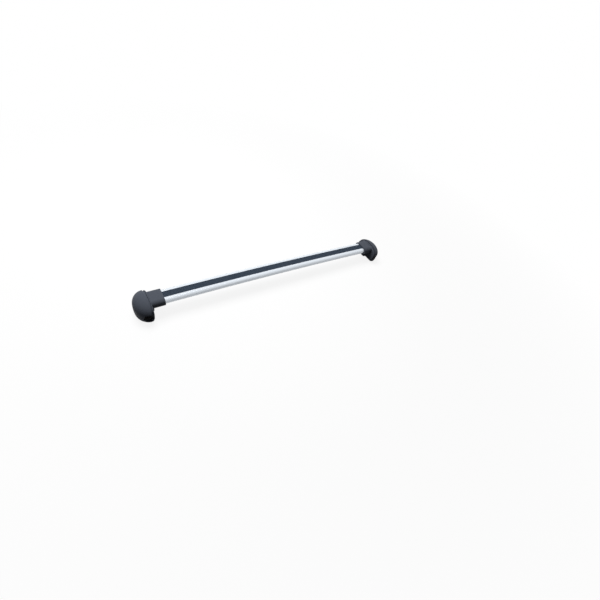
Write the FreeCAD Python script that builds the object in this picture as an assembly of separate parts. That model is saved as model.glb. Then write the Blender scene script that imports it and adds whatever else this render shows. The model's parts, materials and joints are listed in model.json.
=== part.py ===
import FreeCAD, Part
import os
from math import asin, degrees, sqrt

V = FreeCAD.Vector

# Bar: free span between the feet, section and arch
SPAN = 900.0
BAR_INSERT = 40.0
BAR_WIDTH = 58.0
BAR_HEIGHT = 24.0
SHOULDER_R = 10.0
BELLY_R = BAR_HEIGHT - SHOULDER_R
BAR_WALL = 2.2
ARCH_RISE = 5.5
BAR_BOTTOM = 34.0

# Slot and recess in the top of the bar
RECESS_W = 26.0
RECESS_DEEP = 2.5
LIP = 2.0
TOP_SLOT_W = 9.0
TOP_CAVITY_W = 18.0
TOP_CAVITY_H = 6.5

# Channel in the underside of the bar
LOW_SLOT_W = 8.0
LOW_CAVITY_W = 15.0
LOW_CAVITY_H = 7.5

# Grip strip
STRIP_GAP = 0.15
STRIP_PROUD = 0.8
RIB_COUNT = 7
RIB_CUT_W = 1.4
RIB_CUT_DEEP = 0.7
STRIP_FOOT_W = 13.0
STRIP_FOOT_H = 2.0

# Foot: distances along the bar are from the mouth of the sleeve outward
SLEEVE_WALL = 5.0
SLEEVE_GAP = 0.15
FLANGE_IN = 44.0
FLANGE_OUT = 54.0
FLANGE_EDGE_R = 4.0
DOME_LENGTH = 43.5
DOME_HALF_W = 59.0
DOME_UP = 37.0
DOME_DOWN = 85.0
DOME_MID_Z = 30.0
COVER_WALL = 3.0
COVER_GAP = 0.2
FLANGE_STEP = 2.0
BLOCK_TOP = 44.0
SLEEVE_ROOT = 4.0

# Rail clamp
RAIL_R = 13.0
PAD = 2.0
SEAT_R = RAIL_R + PAD
RAIL_U = 62.0
RAIL_Z = 20.0
SPLIT_Z = 9.6
SPLIT_GAP = 0.6
SEAT_HALF_W = 44.0
JAW_HALF_W = 54.0
JAW_CORNER_R = 9.0
TONGUE_HALF_W = 12.0
TONGUE_CORNER_R = 6.0
TONGUE_EDGE = 1.0
PASSAGE_GAP = 1.0
JAW_RIM_GAP = 0.5
JAW_COVER_GAP = 1.0
JAW_LAP = 3.0

# Clamp bolts, washers and nuts
BOLT_R = 3.0
BOLT_HOLE_R = 3.3
INNER_BOLT_WALL = 3.7
OUTER_BOLT_WALL = 3.2
INNER_BOLT_U = RAIL_U - SEAT_R - BOLT_HOLE_R - INNER_BOLT_WALL
OUTER_BOLT_U = RAIL_U + SEAT_R + BOLT_HOLE_R + OUTER_BOLT_WALL
BOLT_TOP = 31.0
HEAD_R = 4.6
HEAD_H = 3.0
HEAD_Z = 0.4
SOCKET_FLATS = 4.0
SOCKET_DEEP = 1.8
WASHER_R = 5.0
WASHER_H = 1.2
NUT_FLATS = 10.0
NUT_H = 5.0
NUT_Z = 16.0
NUT_POCKET_GAP = 0.1
NUT_SLOT_LONG = 20.0
NUT_BORE_GAP = 0.05
WASHER_BORE_GAP = 0.15
WASHER_POCKET_GAP = 0.3
BOSS_R = 7.0
JAW_IN = INNER_BOLT_U - BOSS_R - TONGUE_EDGE

# Screws that hold the bar in the sleeve, and the plate they pull on
FIX_SCREW_US = (9.0, 22.0)
FIX_R = 2.5
FIX_HEAD_R = 4.2
FIX_HEAD_H = 3.0
FIX_TOP = 9.0
PLATE_W = 14.0
PLATE_H = 4.0
PLATE_LONG = 26.0
FIX_HOLE_GAP = 0.2
PLATE_HOLE_GAP = 0.05
PLATE_LIP_GAP = 0.05
FIX_SEAT_GAP = 0.02

# Reach of the cutting boxes past the foot, and the overlap of a shank with its head
FAR = 100.0
FOOT_FAR = 120.0
HEAD_LAP = 0.5

MOUTH = SPAN / 2
ARC_R = (SPAN ** 2 / 4 + ARCH_RISE ** 2) / (2 * ARCH_RISE)
CROWN_Z = BAR_BOTTOM + ARCH_RISE
ARC_CENTRE = V(0, 0, CROWN_Z - ARC_R)


def box(x0, x1, y0, y1, z0, z1):
    return Part.makeBox(x1 - x0, y1 - y0, z1 - z0, V(x0, y0, z0))


def upright(x, y, z0, z1, r):
    return Part.makeCylinder(r, z1 - z0, V(x, y, z0), V(0, 0, 1))


def crosswise(x, z, r, half):
    return Part.makeCylinder(r, 2 * half, V(x, -half, z), V(0, 1, 0))


def hex_prism(x, y, z0, z1, flats):
    corner = flats / sqrt(3)
    points = []
    for k in range(7):
        turn = FreeCAD.Rotation(V(0, 0, 1), 60 * k)
        points.append(V(x, y, z0) + turn.multVec(V(corner, 0, 0)))
    return Part.Face(Part.makePolygon(points)).extrude(V(0, 0, z1 - z0))


def section_box(y0, y1, z0, z1):
    corners = [V(0, y0, z0), V(0, y1, z0), V(0, y1, z1), V(0, y0, z1), V(0, y0, z0)]
    return Part.Face(Part.makePolygon(corners))


# Outline of the bar, grown outward or inward by the same amount all round
def bar_outline(grow):
    half = BAR_WIDTH / 2 + grow
    shoulder = SHOULDER_R + grow
    belly = BELLY_R + grow
    low = -grow
    high = BAR_HEIGHT + grow
    nose = BELLY_R
    k = 1 - sqrt(0.5)
    top_y = half - shoulder
    low_y = half - belly
    edges = []
    for side in (1, -1):
        nose_at = V(0, side * half, nose)
        top_at = V(0, side * top_y, high)
        low_at = V(0, side * low_y, low)
        top_mid = V(0, side * (half - k * shoulder), high - k * shoulder)
        low_mid = V(0, side * (half - k * belly), low + k * belly)
        edges.append(Part.Arc(top_at, top_mid, nose_at).toShape())
        edges.append(Part.Arc(nose_at, low_mid, low_at).toShape())
    edges.append(Part.makeLine(V(0, -top_y, high), V(0, top_y, high)))
    edges.append(Part.makeLine(V(0, -low_y, low), V(0, low_y, low)))
    return Part.Face(Part.Wire(Part.__sortEdges__(edges)))


# Put a shape drawn at the crown of the arch at distance x along it
def on_arch(shape, x):
    placed = shape.copy()
    placed.rotate(ARC_CENTRE, V(0, 1, 0), degrees(asin(x / ARC_R)))
    return placed


# Sweep a section along the arch from x0 to x1
def swept(face, x0, x1):
    start = face.copy()
    start.translate(V(0, 0, CROWN_Z))
    start = on_arch(start, x0)
    turn = degrees(asin(x1 / ARC_R) - asin(x0 / ARC_R))
    return start.revolve(ARC_CENTRE, V(0, 1, 0), turn)


def make_bar():
    face = bar_outline(0)
    recess_z = BAR_HEIGHT - RECESS_DEEP
    lip_z = recess_z - LIP
    face = face.cut(section_box(-RECESS_W / 2, RECESS_W / 2, recess_z, BAR_HEIGHT + 1))
    face = face.cut(section_box(-TOP_SLOT_W / 2, TOP_SLOT_W / 2, lip_z, recess_z + 0.1))
    face = face.cut(section_box(-TOP_CAVITY_W / 2, TOP_CAVITY_W / 2, lip_z - TOP_CAVITY_H, lip_z + 0.001))
    face = face.cut(section_box(-LOW_SLOT_W / 2, LOW_SLOT_W / 2, -1, LIP + 0.1))
    face = face.cut(section_box(-LOW_CAVITY_W / 2, LOW_CAVITY_W / 2, LIP, LIP + LOW_CAVITY_H))
    inside = bar_outline(-BAR_WALL)
    web = TOP_CAVITY_W / 2 + BAR_WALL
    for side in (1, -1):
        ends = sorted((side * web, side * BAR_WIDTH))
        face = face.cut(inside.common(section_box(ends[0], ends[1], BAR_WALL, lip_z)))
    half = MOUTH + BAR_INSERT
    return swept(face.Faces[0], -half, half)


def make_strip():
    recess_z = BAR_HEIGHT - RECESS_DEEP
    lip_z = recess_z - LIP
    top_z = BAR_HEIGHT + STRIP_PROUD
    half_w = RECESS_W / 2 - STRIP_GAP
    neck = TOP_SLOT_W / 2 - STRIP_GAP
    foot = STRIP_FOOT_W / 2
    face = section_box(-half_w, half_w, recess_z, top_z)
    pitch = RECESS_W / (RIB_COUNT + 1)
    for k in range(RIB_COUNT):
        y = (k - (RIB_COUNT - 1) / 2) * pitch
        face = face.cut(section_box(y - RIB_CUT_W / 2, y + RIB_CUT_W / 2, top_z - RIB_CUT_DEEP, top_z + 1))
    face = face.fuse(section_box(-neck, neck, lip_z, recess_z))
    face = face.fuse(section_box(-foot, foot, lip_z - STRIP_FOOT_H, lip_z))
    face = face.removeSplitter()
    half = MOUTH + BAR_INSERT
    return swept(face.Faces[0], -half, half)


# Egg: one rounded body with its own reach upward and downward, cut flat at the rim
def egg(inset):
    rim = MOUTH + FLANGE_OUT
    halves = []
    for reach, z0 in ((DOME_UP, 0.0), (DOME_DOWN, -1.0)):
        ball = Part.makeSphere(1.0).common(box(0, 1, -1, 1, z0, z0 + 1))
        scale = FreeCAD.Matrix()
        scale.A11 = DOME_LENGTH - inset
        scale.A22 = DOME_HALF_W - inset
        scale.A33 = reach - inset
        halves.append(ball.transformGeometry(scale))
    body = halves[0].fuse(halves[1])
    body.translate(V(rim, 0, DOME_MID_Z))
    return body


# Flange: the same outline as the rim of the dome, a little smaller
def make_flange():
    x0 = MOUTH + FLANGE_IN
    half = DOME_HALF_W - FLANGE_STEP
    up = DOME_UP - FLANGE_STEP
    drawn = []
    for reach in (up, -(DOME_DOWN - FLANGE_STEP)):
        unit = Part.Arc(V(0, -1, 0), V(0, 0, 1), V(0, 1, 0)).toShape()
        scale = FreeCAD.Matrix()
        scale.A22 = half
        scale.A33 = reach
        drawn.append(unit.transformGeometry(scale))
    face = Part.Face(Part.Wire(Part.__sortEdges__(drawn)))
    face.translate(V(x0, 0, DOME_MID_Z))
    plate = face.extrude(V(FLANGE_OUT - FLANGE_IN, 0, 0))
    rim = [e for e in plate.Edges if abs(e.CenterOfMass.x - x0) < 0.01]
    plate = plate.makeFillet(FLANGE_EDGE_R, rim)
    reach = DOME_HALF_W + 10
    return plate.common(box(x0 - 1, x0 + FAR, -reach, reach, SPLIT_Z + SPLIT_GAP, FAR))


def make_sleeve():
    return swept(bar_outline(SLEEVE_WALL), MOUTH, MOUTH + FLANGE_IN + SLEEVE_ROOT)


def make_foot_body():
    inner_x = MOUTH + INNER_BOLT_U
    outer_x = MOUTH + OUTER_BOLT_U
    rail_x = MOUTH + RAIL_U
    low = SPLIT_Z + SPLIT_GAP
    rim = MOUTH + FLANGE_OUT
    block = box(rim - 1, MOUTH + FOOT_FAR, -SEAT_HALF_W, SEAT_HALF_W, low, BLOCK_TOP)
    behind = FLANGE_OUT - FLANGE_IN
    root = box(rim - behind / 2, rim, -SEAT_HALF_W, SEAT_HALF_W, low, BLOCK_TOP)
    fit = egg(COVER_WALL + COVER_GAP).fuse(root)
    block = block.common(fit)
    boss = upright(inner_x, 0, low, BAR_BOTTOM - 2, BOSS_R)
    body = make_flange().fuse([make_sleeve(), block, boss])
    cavity_end = MOUTH + BAR_INSERT + 2 * SLEEVE_GAP
    body = body.cut(swept(bar_outline(SLEEVE_GAP), MOUTH - 5, cavity_end))
    strip_half = RECESS_W / 2 + SLEEVE_GAP
    strip_top = BAR_HEIGHT + STRIP_PROUD + SLEEVE_GAP
    strip_room = section_box(-strip_half, strip_half, BAR_HEIGHT - RECESS_DEEP, strip_top)
    body = body.cut(swept(strip_room, MOUTH - 5, cavity_end))
    body = body.cut(crosswise(rail_x, RAIL_Z, SEAT_R, 2 * DOME_HALF_W))
    for x, way in ((inner_x, -1), (outer_x, 1)):
        body = body.cut(upright(x, 0, 0, BOLT_TOP + 1, BOLT_HOLE_R))
        flats = NUT_FLATS + 2 * NUT_POCKET_GAP
        z0 = NUT_Z - NUT_POCKET_GAP
        z1 = NUT_Z + NUT_H + NUT_POCKET_GAP
        body = body.cut(hex_prism(x, 0, z0, z1, flats))
        ends = sorted((x, x + way * NUT_SLOT_LONG))
        body = body.cut(box(ends[0], ends[1], -flats / 2, flats / 2, z0, z1))
    for u in FIX_SCREW_US:
        hole = upright(0, 0, CROWN_Z - 20, CROWN_Z + 5, FIX_R + FIX_HOLE_GAP)
        body = body.cut(on_arch(hole, MOUTH + u))
    return body.removeSplitter()


def make_cover():
    rim = MOUTH + FLANGE_OUT
    rail_x = MOUTH + RAIL_U
    shell = egg(0).cut(egg(COVER_WALL))
    shell = shell.common(box(rim + COVER_GAP, rim + FAR, -FAR, FAR, 0, FAR))
    passage = SEAT_R + PASSAGE_GAP
    shell = shell.cut(crosswise(rail_x, RAIL_Z, passage, FAR))
    shell = shell.cut(box(rail_x - passage, rail_x + passage, -FAR, FAR, -1, RAIL_Z))
    return max(shell.Solids, key=lambda s: s.Volume)


# Plate of the jaw's thickness with its two inner corners rounded
def rounded_plate(x0, x1, half, corner_r):
    plate = box(x0, x1, -half, half, 0, SPLIT_Z)
    corners = [e for e in plate.Edges if e.BoundBox.ZLength > SPLIT_Z / 2 and e.CenterOfMass.x < x0 + 0.1]
    return plate.makeFillet(corner_r, corners)


def make_jaw():
    rail_x = MOUTH + RAIL_U
    inner_x = MOUTH + INNER_BOLT_U
    outer_x = MOUTH + OUTER_BOLT_U
    slot_end = rail_x + SEAT_R
    flange = rounded_plate(MOUTH + FLANGE_IN, MOUTH + FLANGE_OUT + JAW_LAP, JAW_HALF_W, JAW_CORNER_R)
    tongue = rounded_plate(MOUTH + JAW_IN, MOUTH + FLANGE_OUT, TONGUE_HALF_W, TONGUE_CORNER_R)
    middle = egg(JAW_RIM_GAP).common(box(MOUTH + FLANGE_OUT, slot_end, -FAR, FAR, 0, SPLIT_Z))
    end_face = egg(COVER_WALL + JAW_COVER_GAP).slice(V(0, 0, 1), 0.0)
    end = Part.Face(end_face[0]).extrude(V(0, 0, SPLIT_Z))
    end = end.common(box(slot_end - 1, MOUTH + FOOT_FAR, -FAR, FAR, 0, SPLIT_Z))
    jaw = flange.fuse([tongue, middle, end])
    jaw = jaw.cut(crosswise(rail_x, RAIL_Z, SEAT_R, FAR))
    for x in (inner_x, outer_x):
        jaw = jaw.cut(upright(x, 0, -1, SPLIT_Z + 1, BOLT_HOLE_R))
        pocket_top = HEAD_Z + HEAD_H + WASHER_H
        jaw = jaw.cut(upright(x, 0, -1, pocket_top, WASHER_R + WASHER_POCKET_GAP))
    return jaw.removeSplitter()


def make_pad(z0, z1, half):
    rail_x = MOUTH + RAIL_U
    ring = crosswise(rail_x, RAIL_Z, SEAT_R, half).cut(crosswise(rail_x, RAIL_Z, RAIL_R, half + 1))
    return ring.common(box(rail_x - FAR, rail_x + FAR, -FAR, FAR, z0, z1))


def make_bolt(x):
    bolt = upright(x, 0, HEAD_Z, HEAD_Z + HEAD_H, HEAD_R)
    bolt = bolt.fuse(upright(x, 0, HEAD_Z + HEAD_H - HEAD_LAP, BOLT_TOP, BOLT_R))
    return bolt.cut(hex_prism(x, 0, 0, HEAD_Z + SOCKET_DEEP, SOCKET_FLATS)).removeSplitter()


def make_washer(x):
    z0 = HEAD_Z + HEAD_H
    bore = upright(x, 0, 0, FAR, BOLT_R + WASHER_BORE_GAP)
    return upright(x, 0, z0, z0 + WASHER_H, WASHER_R).cut(bore)


def make_nut(x):
    nut = hex_prism(x, 0, NUT_Z, NUT_Z + NUT_H, NUT_FLATS)
    return nut.cut(upright(x, 0, 0, FAR, BOLT_R + NUT_BORE_GAP))


def make_plate():
    u = sum(FIX_SCREW_US) / len(FIX_SCREW_US)
    z0 = CROWN_Z + LIP + PLATE_LIP_GAP
    plate = box(-PLATE_LONG / 2, PLATE_LONG / 2, -PLATE_W / 2, PLATE_W / 2, z0, z0 + PLATE_H)
    plate = on_arch(plate, MOUTH + u)
    for at in FIX_SCREW_US:
        hole = upright(0, 0, CROWN_Z - 20, CROWN_Z + 20, FIX_R + PLATE_HOLE_GAP)
        plate = plate.cut(on_arch(hole, MOUTH + at))
    return plate


def make_fix_screws():
    seat = CROWN_Z - SLEEVE_WALL - FIX_SEAT_GAP
    screws = []
    for u in FIX_SCREW_US:
        screw = upright(0, 0, seat - FIX_HEAD_H, seat, FIX_HEAD_R)
        screw = screw.fuse(upright(0, 0, seat - HEAD_LAP, CROWN_Z + FIX_TOP, FIX_R))
        screw = screw.cut(hex_prism(0, 0, seat - FIX_HEAD_H - 1, seat - 1, SOCKET_FLATS))
        screws.append(on_arch(screw.removeSplitter(), MOUTH + u))
    return Part.makeCompound(screws)


parts = {"bar_extrusion": make_bar(), "grip_strip": make_strip()}

inner = MOUTH + INNER_BOLT_U
outer = MOUTH + OUTER_BOLT_U
foot = {
    "foot_body": make_foot_body(),
    "outer_cover": make_cover(),
    "lower_jaw": make_jaw(),
    "saddle_pad": make_pad(SPLIT_Z + SPLIT_GAP, FAR, SEAT_HALF_W),
    "jaw_pad": make_pad(-FAR, SPLIT_Z, SEAT_HALF_W),
    "inner_bolt": make_bolt(inner),
    "outer_bolt": make_bolt(outer),
    "inner_washer": make_washer(inner),
    "outer_washer": make_washer(outer),
    "inner_nut": make_nut(inner),
    "outer_nut": make_nut(outer),
    "nut_plate": make_plate(),
    "fixing_screws": make_fix_screws(),
}
for name, shape in foot.items():
    parts["right_" + name] = shape
    parts["left_" + name] = shape.mirror(V(0, 0, 0), V(1, 0, 0))

os.makedirs("parts", exist_ok=True)
for name, shape in parts.items():
    shape.exportStep("parts/" + name + ".step")
    size = shape.BoundBox
    print(name, shape.isValid(), len(shape.Solids), round(shape.Volume / 1000, 2), "cm3",
          [round(v, 1) for v in (size.XMin, size.XMax, size.YMin, size.YMax, size.ZMin, size.ZMax)])
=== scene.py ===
import json
import math

import bmesh
import bpy
from mathutils import Matrix, Vector


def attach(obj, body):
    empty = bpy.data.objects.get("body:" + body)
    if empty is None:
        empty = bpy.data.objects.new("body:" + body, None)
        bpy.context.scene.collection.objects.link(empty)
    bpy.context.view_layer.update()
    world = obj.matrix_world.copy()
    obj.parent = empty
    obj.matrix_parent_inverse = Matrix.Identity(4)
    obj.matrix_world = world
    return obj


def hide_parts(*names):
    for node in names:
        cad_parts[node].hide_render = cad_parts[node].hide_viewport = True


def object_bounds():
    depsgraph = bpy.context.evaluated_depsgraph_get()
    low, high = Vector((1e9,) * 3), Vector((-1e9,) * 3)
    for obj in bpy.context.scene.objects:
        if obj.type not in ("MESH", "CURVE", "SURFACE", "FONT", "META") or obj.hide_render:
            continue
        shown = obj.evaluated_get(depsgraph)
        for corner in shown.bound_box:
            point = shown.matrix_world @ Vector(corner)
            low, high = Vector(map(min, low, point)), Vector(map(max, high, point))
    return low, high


# Camera at the photograph's viewing angle
PHOTO_PX = 600
FOCAL_PX = 359.3
CAMERA_AT = Vector((-0.6848, -0.8549, 0.9955))
YAW = math.radians(45.35)
PITCH = math.radians(44.66)
ROLL = math.radians(18.27)
SENSOR_MM = 36.0
NEAR_CLIP = 0.01

# Colours of the part
SILVER = (0.74, 0.79, 0.85)
STRIP_BLACK = (0.043, 0.058, 0.082)
FOOT_BLACK = (0.072, 0.081, 0.100)
PAD_BLACK = (0.016, 0.016, 0.016)
ZINC = (0.60, 0.60, 0.58)

# Floor and light
FLOOR_PALE = (0.86, 0.86, 0.86)
FLOOR_BOUNCE = (0.12, 0.12, 0.12)
FLOOR_DROP = 0.009
FLOOR_SIZE = 60.0
FLOOR_GLOW = 0.88
FADE_FROM = 0.7
FADE_TO = 1.8
SOFT_LIGHT = 0.05

# Parting groove round the flange of each foot, in metres, as the flange lies in the frame
GROOVE_FROM = 0.4986
GROOVE_TO = 0.5030
GROOVE_MID_Z = 0.030
GROOVE_HALF_W = 0.0535
GROOVE_UP = 0.0315
GROOVE_DOWN = 0.0795
GROOVE_OUTSIDE = 0.02
GROOVE_SEGMENTS = 160
SHARP_ANGLE = math.radians(30)
WELD = 1e-6

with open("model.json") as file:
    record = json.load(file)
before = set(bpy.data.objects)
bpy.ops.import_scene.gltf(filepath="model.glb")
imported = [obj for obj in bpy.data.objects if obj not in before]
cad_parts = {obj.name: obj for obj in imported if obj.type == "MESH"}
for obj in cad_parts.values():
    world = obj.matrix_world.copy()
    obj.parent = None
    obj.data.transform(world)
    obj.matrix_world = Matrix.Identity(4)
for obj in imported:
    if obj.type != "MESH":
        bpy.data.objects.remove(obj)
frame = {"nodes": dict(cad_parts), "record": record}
cad_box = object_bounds()
scene = bpy.context.scene
scene.view_settings.view_transform = "Standard"


def principled(name, colour, roughness, metallic=0.0, specular=0.5):
    material = bpy.data.materials.new(name)
    material.use_nodes = True
    shader = material.node_tree.nodes["Principled BSDF"]
    shader.inputs["Base Color"].default_value = (*colour, 1)
    shader.inputs["Roughness"].default_value = roughness
    shader.inputs["Metallic"].default_value = metallic
    shader.inputs["Specular IOR Level"].default_value = specular
    return material, shader


# Fine surface relief: noise, stretched along the bar for drawn lines, into the shader's bump
def add_grain(material, shader, stretch, scale, strength, distance):
    nodes = material.node_tree.nodes
    links = material.node_tree.links
    place = nodes.new("ShaderNodeTexCoord")
    mapping = nodes.new("ShaderNodeMapping")
    noise = nodes.new("ShaderNodeTexNoise")
    bump = nodes.new("ShaderNodeBump")
    mapping.inputs["Scale"].default_value = stretch
    noise.inputs["Scale"].default_value = scale
    noise.inputs["Detail"].default_value = 3.0
    bump.inputs["Strength"].default_value = strength
    bump.inputs["Distance"].default_value = distance
    links.new(place.outputs["Object"], mapping.inputs["Vector"])
    links.new(mapping.outputs["Vector"], noise.inputs["Vector"])
    links.new(noise.outputs["Fac"], bump.inputs["Height"])
    links.new(bump.outputs["Normal"], shader.inputs["Normal"])


def make_materials():
    silver, shader = principled("anodised_silver", SILVER, roughness=0.28, metallic=0.50)
    add_grain(silver, shader, stretch=(0.02, 1, 1), scale=900.0, strength=0.06, distance=0.0003)
    strip, shader = principled("strip_rubber", STRIP_BLACK, roughness=0.75, specular=0.15)
    add_grain(strip, shader, stretch=(1, 1, 1), scale=700.0, strength=0.15, distance=0.0003)
    foot, shader = principled("black_plastic", FOOT_BLACK, roughness=0.50, specular=0.04)
    add_grain(foot, shader, stretch=(1, 1, 1), scale=1100.0, strength=0.12, distance=0.0002)
    pad = principled("pad_rubber", PAD_BLACK, roughness=0.85)[0]
    zinc = principled("zinc_steel", ZINC, roughness=0.35, metallic=1.0)[0]
    return {
        "silver": silver,
        "strip_rubber": strip,
        "black_plastic": foot,
        "pad_rubber": pad,
        "zinc_steel": zinc,
    }


def dress_nodes(materials):
    for sub in frame["record"]["subparts"]:
        obj = frame["nodes"][sub["node"]]
        obj.data.materials.clear()
        obj.data.materials.append(materials[sub["material_slot"]])


# Ring that the groove is cut with: an egg outline inside, a larger one outside
def groove_ring(way):
    mesh = bpy.data.meshes.new("groove_ring")
    ring = bmesh.new()
    loops = []
    for x in (GROOVE_FROM, GROOVE_TO):
        for wider in (0.0, GROOVE_OUTSIDE):
            loop = []
            for step in range(GROOVE_SEGMENTS):
                turn = 2 * math.pi * step / GROOVE_SEGMENTS
                reach = GROOVE_UP if math.sin(turn) > 0 else GROOVE_DOWN
                y = (GROOVE_HALF_W + wider) * math.cos(turn)
                z = GROOVE_MID_Z + (reach + wider) * math.sin(turn)
                loop.append(ring.verts.new((way * x, y, z)))
            loops.append(loop)
    near_in, near_out, far_in, far_out = loops
    around = [near_in, near_out, far_out, far_in, near_in]
    for first, second in zip(around, around[1:]):
        for step in range(GROOVE_SEGMENTS):
            after = (step + 1) % GROOVE_SEGMENTS
            ring.faces.new((first[step], first[after], second[after], second[step]))
    bmesh.ops.recalc_face_normals(ring, faces=ring.faces)
    ring.to_mesh(mesh)
    ring.free()
    cutter = bpy.data.objects.new("groove_ring", mesh)
    scene.collection.objects.link(cutter)
    return cutter


# Foot body with the groove, standing for the plain one
def add_grooved_foot(side, way, material):
    plain = side + "_foot_body"
    mesh = frame["nodes"][plain].data.copy()
    if "custom_normal" in mesh.attributes:
        mesh.attributes.remove(mesh.attributes["custom_normal"])
    welded = bmesh.new()
    welded.from_mesh(mesh)
    bmesh.ops.remove_doubles(welded, verts=welded.verts, dist=WELD)
    welded.to_mesh(mesh)
    welded.free()
    foot = bpy.data.objects.new(side + "_foot_grooved", mesh)
    scene.collection.objects.link(foot)
    cutter = groove_ring(way)
    cut = foot.modifiers.new("groove", "BOOLEAN")
    cut.operation = "DIFFERENCE"
    cut.solver = "EXACT"
    cut.object = cutter
    settled = foot.evaluated_get(bpy.context.evaluated_depsgraph_get())
    result = bpy.data.meshes.new_from_object(settled)
    foot.modifiers.remove(cut)
    bpy.data.objects.remove(cutter)
    result.shade_smooth()
    result.set_sharp_from_angle(angle=SHARP_ANGLE)
    result.materials.clear()
    result.materials.append(material)
    foot.data = result
    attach(foot, "crossbar")
    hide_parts(plain)


def add_lamp(name, size, power, at, aim):
    lamp = bpy.data.lights.new(name, "AREA")
    lamp.size = size
    lamp.energy = power
    obj = bpy.data.objects.new(name, lamp)
    obj.location = at
    obj.rotation_euler = (Vector(aim) - Vector(at)).to_track_quat("-Z", "Y").to_euler()
    obj.visible_glossy = False
    scene.collection.objects.link(obj)


# White where the camera, a reflection or a clear surface looks, plain grey light elsewhere
def white_to_view(nodes, links):
    path = nodes.new("ShaderNodeLightPath")
    first = nodes.new("ShaderNodeMath")
    second = nodes.new("ShaderNodeMath")
    first.operation = "MAXIMUM"
    second.operation = "MAXIMUM"
    links.new(path.outputs["Is Camera Ray"], first.inputs[0])
    links.new(path.outputs["Is Glossy Ray"], first.inputs[1])
    links.new(first.outputs[0], second.inputs[0])
    links.new(path.outputs["Is Transmission Ray"], second.inputs[1])
    return second.outputs[0]


def make_world():
    world = bpy.data.worlds.new("studio")
    scene.world = world
    world.use_nodes = True
    nodes = world.node_tree.nodes
    links = world.node_tree.links
    nodes.clear()
    out = nodes.new("ShaderNodeOutputWorld")
    mix = nodes.new("ShaderNodeMixShader")
    soft = nodes.new("ShaderNodeBackground")
    white = nodes.new("ShaderNodeBackground")
    soft.inputs["Color"].default_value = (1, 1, 1, 1)
    soft.inputs["Strength"].default_value = SOFT_LIGHT
    white.inputs["Color"].default_value = (1, 1, 1, 1)
    white.inputs["Strength"].default_value = 1.0
    links.new(white_to_view(nodes, links), mix.inputs["Fac"])
    links.new(soft.outputs[0], mix.inputs[1])
    links.new(white.outputs[0], mix.inputs[2])
    links.new(mix.outputs[0], out.inputs["Surface"])


# Pale with a soft shadow where it is looked at, white further out, and dark to bounced light
def make_floor():
    low = cad_box[0][2] - FLOOR_DROP
    bpy.ops.mesh.primitive_plane_add(size=FLOOR_SIZE, location=(0, 0, low))
    floor = bpy.context.object
    floor.name = "floor"
    material, pale = principled("floor_white", FLOOR_PALE, roughness=0.9)
    nodes = material.node_tree.nodes
    links = material.node_tree.links
    glow = nodes.new("ShaderNodeEmission")
    glow.inputs["Strength"].default_value = 1.0
    bounce = nodes.new("ShaderNodeBsdfDiffuse")
    bounce.inputs["Color"].default_value = (*FLOOR_BOUNCE, 1)
    place = nodes.new("ShaderNodeTexCoord")
    reach = nodes.new("ShaderNodeVectorMath")
    reach.operation = "LENGTH"
    fade = nodes.new("ShaderNodeMapRange")
    fade.inputs["From Min"].default_value = FADE_FROM
    fade.inputs["From Max"].default_value = FADE_TO
    fade.inputs["To Min"].default_value = FLOOR_GLOW
    fade.inputs["To Max"].default_value = 1.0
    links.new(place.outputs["Object"], reach.inputs[0])
    links.new(reach.outputs["Value"], fade.inputs["Value"])
    shown = nodes.new("ShaderNodeMixShader")
    links.new(fade.outputs["Result"], shown.inputs["Fac"])
    links.new(pale.outputs[0], shown.inputs[1])
    links.new(glow.outputs[0], shown.inputs[2])
    mix = nodes.new("ShaderNodeMixShader")
    links.new(white_to_view(nodes, links), mix.inputs["Fac"])
    links.new(bounce.outputs[0], mix.inputs[1])
    links.new(shown.outputs[0], mix.inputs[2])
    links.new(mix.outputs[0], nodes["Material Output"].inputs["Surface"])
    floor.data.materials.append(material)


def make_camera():
    data = bpy.data.cameras.new("camera")
    data.sensor_fit = "HORIZONTAL"
    data.sensor_width = SENSOR_MM
    data.lens = FOCAL_PX / PHOTO_PX * SENSOR_MM
    data.clip_start = NEAR_CLIP
    camera = bpy.data.objects.new("camera", data)
    scene.collection.objects.link(camera)
    flat = math.cos(PITCH)
    forward = Vector((math.sin(YAW) * flat, math.cos(YAW) * flat, -math.sin(PITCH)))
    level = Vector((math.cos(YAW), -math.sin(YAW), 0))
    rise = level.cross(forward)
    right = math.cos(ROLL) * level + math.sin(ROLL) * rise
    up = math.cos(ROLL) * rise - math.sin(ROLL) * level
    turn = Matrix((right, up, -forward)).transposed().to_4x4()
    camera.matrix_world = Matrix.Translation(CAMERA_AT) @ turn
    scene.camera = camera


materials = make_materials()
dress_nodes(materials)
add_grooved_foot("left", -1, materials["black_plastic"])
add_grooved_foot("right", 1, materials["black_plastic"])
make_world()
make_floor()
add_lamp("key", size=1.4, power=74.0, at=(-0.3, 0.8, 2.2), aim=(0, 0, 0))
make_camera()
